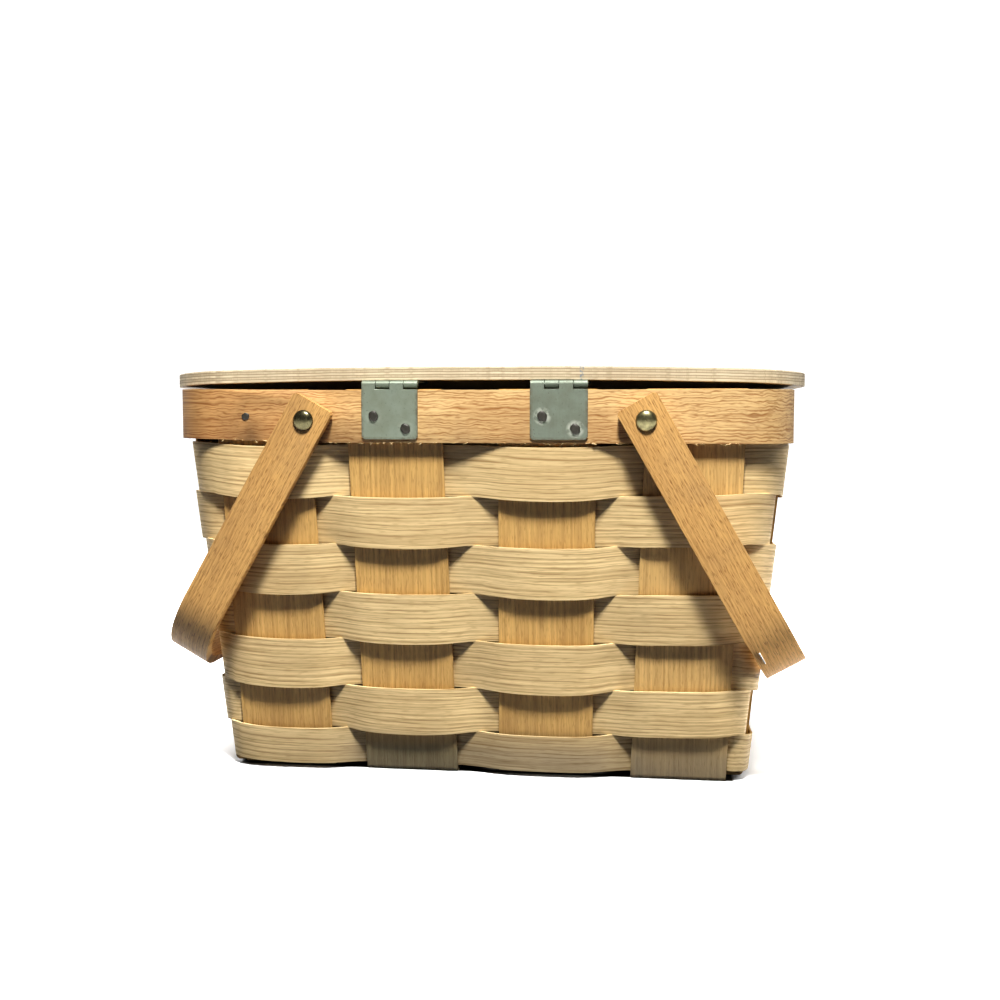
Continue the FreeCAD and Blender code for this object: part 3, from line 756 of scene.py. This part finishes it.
class BASKET_OT_weavers(bpy.types.Operator):
    """Weave the seven rows round the uprights"""
    bl_idname = "basket.weavers"
    bl_label = "Weavers"

    def execute(self, context):
        sizes, tints = user_values(context)
        finish = wood("weaver_splint_wood", "weaver", tints.weaver_pale, tints.weaver_dark,
                      soil_and_shade=(0.12, 0.25), relief_mm=0.025)
        # painted highlight: each weaver's upper edge is lightened where the light from above catches it
        overlay(finish, lambda tree: spread(tree, map_axis(tree, "Edge", 1), 0.965, 0.99), (1.25, 1.27, 1.3))
        # painted shade on the lowest row round the middle of the back wall's foot
        overlay(finish, painted_foot_shade, (0.66, 0.68, 0.77))
        for row, node in enumerate(WEAVERS, 1):
            finish_piece(weave_row(row, sizes), finish, "basket", "weaver_splint", node)
        return {"FINISHED"}


class BASKET_OT_uprights(bpy.types.Operator):
    """Finish the upright splints with grain along their length"""
    bl_idname = "basket.uprights"
    bl_label = "Uprights"

    def execute(self, context):
        _, tints = user_values(context)
        longs, ends = [wood("upright_wood_" + side, "upright", tints.upright_pale, tints.upright_dark, axes,
                            soil_and_shade=(0.15, 0.45))
                       for side, axes in (("long_sides", ((0, 1, 1), (1, 0, 0), (0, 3, 0))),
                                          ("ends", ((1, 0, 1), (0, 1, 0), (3, 0, 0))))]
        # painted shade on the uprights' feet round the middle of the back wall
        overlay(longs, painted_foot_shade, (0.42, 0.53, 0.75))
        overlay(longs, last_upright, (1.02, 1.07, 1.2))
        overlay(longs, right_foot, (0.7, 0.79, 1.0))
        for names, finish in ((LONG_SPLINTS, longs), (END_SPLINTS, ends)):
            for name in names:
                dress_node(name, finish)
        return {"FINISHED"}


def torn_fibres(sizes):
    """Fine fibres that hang from the outer hoop's lower edge: one curled fibre, copied at random."""
    reach = sizes.fibre_length
    rings = [(0.2 * MM, 0.0), (0.17 * MM, 0.35 * reach), (0.12 * MM, 0.7 * reach), (0.04 * MM, reach)]
    pattern = lathe("fibre_pattern", rings, 4)
    for vertex in pattern.data.vertices:
        vertex.co.x += 0.3 * reach * (vertex.co.z / reach) ** 2
    chance = random.Random(7)
    corner = 26 * MM
    straight_x, straight_y = RIM_HIGH.x - corner, RIM_HIGH.y - corner
    fibres = []
    for k in range(FIBRES):
        along = chance.uniform(-1, 1)
        wall = FRAYED_WALLS[k % len(FRAYED_WALLS)]
        half = straight_x if wall % 2 == 0 else straight_y
        out = RIM_HIGH.y if wall % 2 == 0 else RIM_HIGH.x
        seat = WALL_ALONG[wall] * (along * half) + WALL_OUT[wall] * (out - chance.uniform(0.1, 0.8) * MM)
        seat.z = RIM_LOW.z + 0.3 * MM
        aim = WALL_ALONG[wall] * chance.choice((-1, 1)) + WALL_OUT[wall] * chance.uniform(0.2, 0.6)
        aim.z = -chance.uniform(0.1, 0.8)
        fibre = twin(pattern, "fibre")
        fibre.data.transform(Matrix.Scale(chance.uniform(0.4, 1.0), 4))
        fibres.append(face_out(fibre, seat, aim.normalized(), chance.uniform(0, 6)))
    bpy.data.objects.remove(pattern)
    return join(fibres, "torn_rim_fibres")


def lift_corner(obj, sizes):
    """Raise the hoop's back left corner a little, its lower edge more than its upper one."""
    start, run = 0.075, 0.09
    front, depth = 0.02, 0.14
    with editing(obj):
        for x in (0.13, 0.12, 0.11, 0.1, 0.09, start):
            bpy.ops.mesh.select_all(action="SELECT")
            bpy.ops.mesh.bisect(plane_co=(-x, 0, 0), plane_no=(1, 0, 0))
    for vertex in obj.data.vertices:
        low = 1 - 0.6 * (vertex.co.z - RIM_LOW.z) / (RIM_HIGH.z - RIM_LOW.z)
        share = ease((-vertex.co.x - start) / run) * ease((front - vertex.co.y) / depth)
        vertex.co.z += sizes.corner_lift * low * share


class BASKET_OT_rim(bpy.types.Operator):
    """Round the rim bands and fray the lower edge of the outer one"""
    bl_idname = "basket.rim"
    bl_label = "Rim"

    def execute(self, context):
        sizes, tints = user_values(context)
        axes = ((1, 1, 0), (0, 0, 1), (2, -2, 0))
        finish = wood("rim_wood", "rim", tints.rim_pale, tints.rim_dark, axes, (0.2, 0.0), 0.06)
        overlay(finish, ramp(0, -0.02, -0.13), (0.81, 0.68, 0.57))
        for node, name in (("outer_rim_band", "outer_hoop"), ("inner_rim_band", "inner_hoop")):
            hoop = dressed_copy(node, name, sizes.band_round)
            lift_corner(hoop, sizes)
            finish_piece(hoop, finish, "basket", "rim_wood", node)
        torn = wood("torn_fibre_wood", "fibre", tints.weaver_pale, tints.rim_pale, axes, (0.1, 0.0))
        fibres = torn_fibres(sizes)
        lift_corner(fibres, sizes)
        finish_piece(fibres, torn, "basket", "rim_wood")
        return {"FINISHED"}


class BASKET_OT_lid(bpy.types.Operator):
    """Round the plywood lid and show its plies on the edge"""
    bl_idname = "basket.lid"
    bl_label = "Lid"

    def execute(self, context):
        sizes, tints = user_values(context)
        lid = dressed_copy("lid_panel", "plywood_lid", sizes.lid_round)
        reach = max(vertex.co.x for vertex in lid.data.vertices)
        front, depth = 0.03, 0.13
        for vertex in lid.data.vertices:
            end = (vertex.co.x / reach) ** 6
            vertex.co.z -= sizes.lid_droop * end * ease((front - vertex.co.y) / depth)
        # marks the lid's top face, which is darkened as painted shade
        faces = lid.data.uv_layers.new(name="Face")
        for polygon in lid.data.polygons:
            for loop in polygon.loop_indices:
                faces.data[loop].uv = (1.0 if polygon.normal.z > 0.6 else 0.0, 0.0)
        finish = plywood(sizes, tints)
        # painted shade: the lid's top face is darkened where the light from above falls strongest
        overlay(finish, lambda tree: map_axis(tree, "Face", 0), (0.52, 0.45, 0.36))
        finish_piece(lid, finish, "lid", "lid_plywood", "lid_panel")
        return {"FINISHED"}


def wear_marks(finish, leaf, nails, ring_strength):
    """Rust along a leaf's sides and foot, and paler rings where the nails have been hammered."""
    tree, socket, tone = feed_of(finish)
    low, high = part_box(leaf)
    place = own_place(tree)
    along, _, height = axes_of(tree, place)
    beside = sums(tree, "ABSOLUTE", sums(tree, "SUBTRACT", along, (low.x + high.x) / 2))
    half = (high.x - low.x) / 2
    edge = sums(tree, "MAXIMUM", spread(tree, beside, half - 1.8 * MM, half - 0.2 * MM),
                spread(tree, height, low.z + 1.6 * MM, low.z + 0.2 * MM))
    cloud = noise(tree, place, 3.0, 0.5, 420.0)
    tone = blend(tree, times(tree, edge, spread(tree, cloud, 0.35, 0.65, 0.1, 0.7)), tone, RUST)
    for middle in nails:
        apart = put(tree, "ShaderNodeVectorMath", {0: place, 1: middle}, operation="DISTANCE")
        near = spread(tree, apart.outputs["Value"], 5.0 * MM, 3.4 * MM)
        ring = times(tree, near, spread(tree, cloud, 0.38, 0.55))
        tone = blend(tree, times(tree, ring, ring_strength), tone, HAMMERED)
    tree.links.new(tone, socket)


class BASKET_OT_hinges(bpy.types.Operator):
    """Ease the edges of the hinge leaves and plate them"""
    bl_idname = "basket.hinges"
    bl_label = "Hinges"

    def execute(self, context):
        sizes, tints = user_values(context)
        for side, wear, dullness, rings in (("left", 1.0, 0.2, 0.15), ("right", 0.68, 0.36, 0.7)):
            clean, worn = [[wear * c for c in tint] for tint in (tints.hinge_plate, tints.hinge_tarnish)]
            plate, rolled = [metal("%s_worn_%s_plating" % (side, part), "hinge", clean, worn, dullness)
                             for part in ("hinge", "shade_painted_knuckle")]
            low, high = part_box(side + "_hinge_pin")
            pin = (low.z + high.z) / 2
            # painted shade on the knuckles' lower halves, below the pin
            overlay(rolled, ramp(2, pin + 0.4 * MM, pin - 0.6 * MM), (0.36, 0.38, 0.34))
            leaf = side + "_hinge_body_leaf"
            first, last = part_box(leaf)
            nails = [((low[0] + high[0]) / 2, first.y, (low[2] + high[2]) / 2)
                     for low, high in islands("hinge_body_nails")]
            wear_marks(plate, leaf, [nail for nail in nails if first.x < nail[0] < last.x], rings)
            for part, body, finish in (("body", "basket", plate), ("lid", "lid", rolled)):
                node = "%s_hinge_%s_leaf" % (side, part)
                leaf = dressed_copy(node, "%s_leaf_on_%s" % (side, part), sizes.leaf_round, rolled=True)
                finish_piece(leaf, finish, body, "hinge_steel", node)
            dress_node(side + "_hinge_pin", plate)
        return {"FINISHED"}


def handle_lines(side, sizes):
    """A handle's pivot, and the directions down its arm and across its strip."""
    sign = 1 if side == "right" else -1
    sway, fall = sign * math.sin(sizes.handle_lean), math.cos(sizes.handle_lean)
    low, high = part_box("back_%s_handle_rivet" % side)
    pivot = (low + high) / 2
    pivot.y = 0.0
    return pivot, Vector((sway, 0.0, -fall)), Vector((fall, 0.0, sway))


def strip_grain(strap, side, sizes):
    """A UV map in metres that runs along the bent strip, round both bends."""
    pivot, down, over = handle_lines(side, sizes)
    mesh = strap.data
    outer = max(vertex.co.y for vertex in mesh.vertices)
    start, flat = sizes.handle_reach - sizes.handle_bend, outer - sizes.handle_bend
    half_strip = 2.5 * MM
    arc = sizes.handle_bend - half_strip
    middle = start + arc * math.pi / 2 + flat
    spots = []
    for vertex in mesh.vertices:
        from_pivot = vertex.co - pivot
        drop, out = from_pivot.dot(down) - start, abs(vertex.co.y) - flat
        if drop <= 0:
            run = start + drop
        elif out > 0:
            run = start + arc * math.atan2(drop, out)
        else:
            run = middle - flat - out
        if vertex.co.y > 0:
            run = 2 * middle - run
        spots.append((run, from_pivot.dot(over)))
    grain = mesh.uv_layers.new(name="Grain")
    for loop in mesh.loops:
        grain.data[loop.index].uv = spots[loop.vertex_index]
    return start


class BASKET_OT_handles(bpy.types.Operator):
    """Round the bent handles and run their grain along the strip"""
    bl_idname = "basket.handles"
    bl_label = "Handles"

    def execute(self, context):
        sizes, tints = user_values(context)
        for side in ("left", "right"):
            node = side + "_handle"
            finish = wood(node + "_wood", node, tints.handle_pale, tints.handle_dark, soil_and_shade=(0.22, 0.0))
            strap = dressed_copy(node, side + "_bent_strap", sizes.handle_round)
            bend = strip_grain(strap, side, sizes)
            # painted light: the right handle's lower bend is lightened where bounce light from the floor
            # would fall
            if side == "right":
                overlay(finish, lambda tree: spread(tree, map_axis(tree, "Grain", 0), bend, bend + 0.025),
                        (1.5, 1.5, 1.5))
            finish_piece(strap, finish, node, "handle_wood", node)
        wire = metal("staple_wire", "wire", (0.95, 0.93, 0.88), (0.7, 0.66, 0.58))
        finish_piece(staple(sizes), wire, "right_handle", "nail_steel")
        return {"FINISHED"}


def staple(sizes):
    """A wire staple driven into the right handle's bend: leg, bend, crown, bend, leg."""
    wire, bend, leg = 0.42 * MM, 0.6 * MM, 1.6 * MM
    half = sizes.staple_length / 2
    obj = primitive("circle", "right_handle_staple", vertices=8, radius=wire, fill_type="NGON")

    def draw_out(x, z):
        bpy.ops.mesh.extrude_region_move(TRANSFORM_OT_translate={"value": (x, 0, z)})

    def bend_over(x):
        bpy.ops.mesh.spin(steps=4, angle=-math.pi / 2, center=(x, 0, 0), axis=(0, 1, 0))

    with editing(obj):
        bpy.ops.transform.translate(value=(-half, 0, -leg))
        draw_out(0, leg)
        bend_over(bend - half)
        draw_out(2 * (half - bend), 0)
        bend_over(half - bend)
        draw_out(0, -leg)
        bpy.ops.mesh.select_all(action="SELECT")
        bpy.ops.mesh.remove_doubles(threshold=1e-7)
        bpy.ops.mesh.normals_make_consistent(inside=False)
    smooth(obj, 50)
    turn, radius, aside, sunk = math.radians(35), sizes.handle_bend, 8.0 * MM, 0.15 * MM
    pivot, down, over = handle_lines("right", sizes)
    seat = pivot + down * (sizes.handle_reach - radius + radius * math.sin(turn)) - over * aside
    seat.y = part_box("right_handle")[0].y + radius * (1 - math.cos(turn))
    outward = Vector((0, -math.cos(turn), 0)) + down * math.sin(turn)
    tangent = down * math.cos(turn) + Vector((0, math.sin(turn), 0))
    place = Matrix((tangent, outward.cross(tangent), outward)).transposed().to_4x4()
    place.translation = seat - outward * sunk
    obj.data.transform(place)
    return obj


# Fasteners

def lathe(name, rings, sides):
    """A turned piece along +Z: a disc extruded and scaled from ring to ring."""
    radius, height = rings[0]
    obj = primitive("circle", name, vertices=sides, radius=radius, fill_type="NGON")
    with editing(obj):
        bpy.ops.transform.translate(value=(0, 0, height))
        for next_radius, next_height in rings[1:]:
            bpy.ops.mesh.extrude_region_move(TRANSFORM_OT_translate={"value": (0, 0, next_height - height)})
            scale = next_radius / radius
            bpy.ops.transform.resize(value=(scale, scale, 1), center_override=(0, 0, next_height))
            radius, height = next_radius, next_height
        bpy.ops.mesh.select_all(action="SELECT")
        bpy.ops.mesh.normals_make_consistent(inside=False)
    smooth(obj, 38)
    return obj


def face_out(obj, seat, outward, turn=0.0):
    """Put a turned piece on its seat with its head outward, in its mesh."""
    spin = Matrix.Rotation(turn, 4, "Z")
    aim = Vector((0, 0, 1)).rotation_difference(Vector(outward)).to_matrix().to_4x4()
    obj.data.transform(Matrix.Translation(Vector(seat)) @ aim @ spin)
    return obj


def twin(obj, name):
    copy = bpy.data.objects.new(name, obj.data.copy())
    bpy.context.scene.collection.objects.link(copy)
    return copy


def join(pieces, name):
    only(pieces[0])
    for piece in pieces[1:]:
        piece.select_set(True)
    bpy.ops.object.join()
    pieces[0].name = name
    return pieces[0]


HEAD_FROM = 1.0 * MM                  # a nail's points further out than this are its head


def nail_set(node, name, radius, head, finish, body):
    """Nails of one node: modelled once, copied to each nail's place, and joined."""
    pattern = None
    nails = []
    chance = random.Random(len(node))
    for low, high in islands(node):
        middle = (low + high) / 2
        wide = high - low
        axis = int(np.argmax(wide[:2])) if max(wide[:2]) > wide[2] * 1.2 else 2
        outward = Vector((0, 0, 0))
        outward[axis] = math.copysign(1, middle[axis]) if axis < 2 else -1
        depth = wide[axis]
        if pattern is None:
            shank, point = 0.8 * MM, head - depth
            rings = [(0.5 * MM, point), (shank, point + 1.5 * MM), (shank, 0.0), (radius, 0.0)]
            rings += [(radius * wide_share, head * high_share) for wide_share, high_share in
                      ((1.0, 0.45), (0.9, 0.75), (0.62, 0.95), (0.3, 1.0))]
            pattern = lathe(name + "_pattern", rings, 18)
        seat = Vector(middle)
        tip = high[axis] if outward[axis] > 0 else low[axis]
        seat[axis] = tip - outward[axis] * head
        nail = twin(pattern, name)
        phase = chance.uniform(0, 6)
        for vertex in nail.data.vertices:
            if math.hypot(vertex.co.x, vertex.co.y) > HEAD_FROM:
                angle = math.atan2(vertex.co.y, vertex.co.x)
                swell = 1 + 0.07 * math.sin(2 * angle + phase) + 0.05 * math.sin(5 * angle)
                vertex.co.x *= swell
                vertex.co.y *= swell
        nails.append(face_out(nail, seat, outward, phase))
    bpy.data.objects.remove(pattern)
    return finish_piece(join(nails, name), finish, body, "nail_steel", node)


class BASKET_OT_fasteners(bpy.types.Operator):
    """Turn the rivets and nails and set them in place"""
    bl_idname = "basket.fasteners"
    bl_label = "Rivets and nails"

    def execute(self, context):
        sizes, tints = user_values(context)
        brass = metal("aged_rivet_brass", "brass", tints.rivet_brass, (0.06, 0.055, 0.03), 0.1)
        dull = metal("dulled_rivet_brass", "brass", [0.5 * c for c in tints.rivet_brass],
                     (0.04, 0.037, 0.022), 0.08)
        iron = metal("dark_nail_iron", "iron", tints.nail_iron, (0.04, 0.035, 0.025), 0.3, 0.1)
        low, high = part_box(RIVETS[0])
        radius = (high.x - low.x) / 2
        head, tail, shank = sizes.rivet_head, sizes.rivet_tail, sizes.rivet_shank
        end = head - (high.y - low.y)
        dome = [(radius * math.cos(a), head * math.sin(a)) for a in np.linspace(0.12, 1.5, 9)]
        rings = [(2.4 * MM, end), (4.2 * MM, end + 0.5 * tail), (4.6 * MM, end + tail), (shank, end + tail),
                 (shank, 0.0), (radius * 0.97, 0.0), (radius, 0.15 * MM)] + dome
        pattern = lathe("rivet_pattern", rings, 40)
        for node in RIVETS:
            low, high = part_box(node)
            middle = (low + high) / 2
            side = math.copysign(1, middle.y)
            seat = (middle.x, (high.y if side > 0 else low.y) - side * head, middle.z)
            rivet = twin(pattern, node.replace("handle_rivet", "domed_rivet"))
            face_out(rivet, seat, (0, side, 0))
            finish_piece(rivet, dull if "left" in node else brass, "basket", "rivet_brass", node)
        bpy.data.objects.remove(pattern)
        dress_node("handle_spacer_washers", brass)
        nail_set("hinge_body_nails", "hinge_nails_in_rim", 2.65 * MM, 1.1 * MM, iron, "basket")
        nail_set("rim_nails", "hoop_nails", 2.0 * MM, 0.7 * MM, iron, "basket")
        dress_node("hinge_lid_nails", iron)
        return {"FINISHED"}


# Stage

def white_floor():
    """A floor that glows away from the basket, with a painted contact shadow: dark right under its base."""
    floor = primitive("plane", "floor", size=12.0)
    pale, tree, shader = new_material("pale_floor")
    place = own_place(tree)
    tone = blend(tree, noise(tree, place, 2.0, 0.5, 3.0), (0.86, 0.86, 0.85), (0.9, 0.9, 0.9))
    shader.inputs["Roughness"].default_value = 0.9
    beside = [sums(tree, "DIVIDE", sums(tree, "ABSOLUTE", axis), rim)
              for axis, rim in zip(axes_of(tree, place)[:2], RIM_HIGH)]
    glow = spread(tree, sums(tree, "MAXIMUM", *beside), 0.84, 1.04)
    # painted contact shadow: the floor's colour is dark within the basket's footprint
    under = times(tree, spread(tree, beside[0], 0.835, 0.825), spread(tree, beside[1], 0.8, 0.79))
    tree.links.new(blend(tree, under, tone, (0.02, 0.018, 0.015)), shader.inputs["Base Color"])
    tree.links.new(put(tree, "ShaderNodeCombineColor", {0: glow, 1: glow, 2: glow}).outputs[0],
                   shader.inputs["Emission Color"])
    shader.inputs["Emission Strength"].default_value = 1.0
    floor.data.materials.append(pale)
    floor.visible_diffuse = False


# Name, place, target, size, power in watts, spread in degrees
LAMPS = (("key", (0.08, -0.52, 0.93), (0.0, -0.115, 0.11), 0.15, 18.4, 180),
         ("front", (-0.15, 0.55, 0.75), (0.0, 0.1, 0.11), 0.25, 6.5, 180),
         ("right", (0.85, 0.22, 0.55), (0.15, 0.05, 0.1), 0.3, 4.0, 180),
         ("left", (-0.85, 0.22, 0.55), (-0.15, 0.05, 0.1), 0.3, 4.0, 180),
         ("bounce", (0.62, -0.16, 0.07), (0.2, -0.145, 0.06), 0.08, 0.05, 26))


def light_up():
    for name, place, target, size, power, spread_angle in LAMPS:
        bpy.ops.object.light_add(type="AREA", location=place)
        lamp = bpy.context.object
        lamp.name = name + "_light"
        lamp.data.size = size
        lamp.data.energy = power
        lamp.data.spread = math.radians(spread_angle)
        aim = Vector(target) - Vector(place)
        lamp.rotation_euler = aim.to_track_quat("-Z", "Y").to_euler()


def white_sky(scene):
    """A world that is white to the camera and gives the basket a little soft light."""
    world = bpy.data.worlds.new("studio")
    scene.world = world
    world.use_nodes = True
    tree = world.node_tree
    tree.nodes.clear()
    soft = put(tree, "ShaderNodeBackground", {"Color": (0.95, 0.97, 1.0, 1.0), "Strength": 0.035})
    white = put(tree, "ShaderNodeBackground", {"Color": (1.0, 1.0, 1.0, 1.0), "Strength": 1.0})
    seen = put(tree, "ShaderNodeLightPath").outputs["Is Camera Ray"]
    mixed = put(tree, "ShaderNodeMixShader", {0: seen, 1: soft.outputs[0], 2: white.outputs[0]})
    put(tree, "ShaderNodeOutputWorld", {"Surface": mixed.outputs[0]})
    scene.view_settings.view_transform = "Standard"
    scene.view_settings.look = "Medium High Contrast"


def photo_camera(scene):
    """The camera fitted to the photo."""
    bpy.ops.object.camera_add(location=(0.0924, -0.7367, 0.1980),
                              rotation=(math.radians(90 - 4.24), 0.0, math.radians(7.26)))
    camera = bpy.context.object
    camera.data.sensor_width = 36.0
    camera.data.lens = 43.2
    scene.camera = camera


class BASKET_OT_stage(bpy.types.Operator):
    """Set up the floor, the lights and the camera"""
    bl_idname = "basket.stage"
    bl_label = "Stage"

    def execute(self, context):
        white_floor()
        light_up()
        white_sky(context.scene)
        photo_camera(context.scene)
        return {"FINISHED"}


class BASKET_PT_panel(bpy.types.Panel):
    """Lists the basket's operators and values"""
    bl_idname = "BASKET_PT_panel"
    bl_label = "Splint picnic basket"
    bl_space_type = "VIEW_3D"
    bl_region_type = "UI"
    bl_category = "Basket"

    def draw(self, context):
        for operator in OPERATORS:
            self.layout.operator(operator.bl_idname)
        for values in (context.scene.basket_sizes, context.scene.basket_colours):
            for key in values.__annotations__:
                self.layout.prop(values, key)


OPERATORS = (BASKET_OT_uprights, BASKET_OT_weavers, BASKET_OT_rim, BASKET_OT_lid, BASKET_OT_hinges,
             BASKET_OT_handles, BASKET_OT_fasteners, BASKET_OT_stage)
CLASSES = (BasketSizes, BasketColours) + OPERATORS + (BASKET_PT_panel,)


def register():
    for item in CLASSES:
        bpy.utils.register_class(item)
    bpy.types.Scene.basket_sizes = bpy.props.PointerProperty(type=BasketSizes)
    bpy.types.Scene.basket_colours = bpy.props.PointerProperty(type=BasketColours)


def unregister():
    del bpy.types.Scene.basket_sizes
    del bpy.types.Scene.basket_colours
    for item in reversed(CLASSES):
        bpy.utils.unregister_class(item)


def main():
    register()
    bpy.ops.basket.uprights()
    bpy.ops.basket.weavers()
    bpy.ops.basket.rim()
    bpy.ops.basket.lid()
    bpy.ops.basket.hinges()
    bpy.ops.basket.handles()
    bpy.ops.basket.fasteners()
    bpy.ops.basket.stage()


if __name__ == "__main__":
    main()
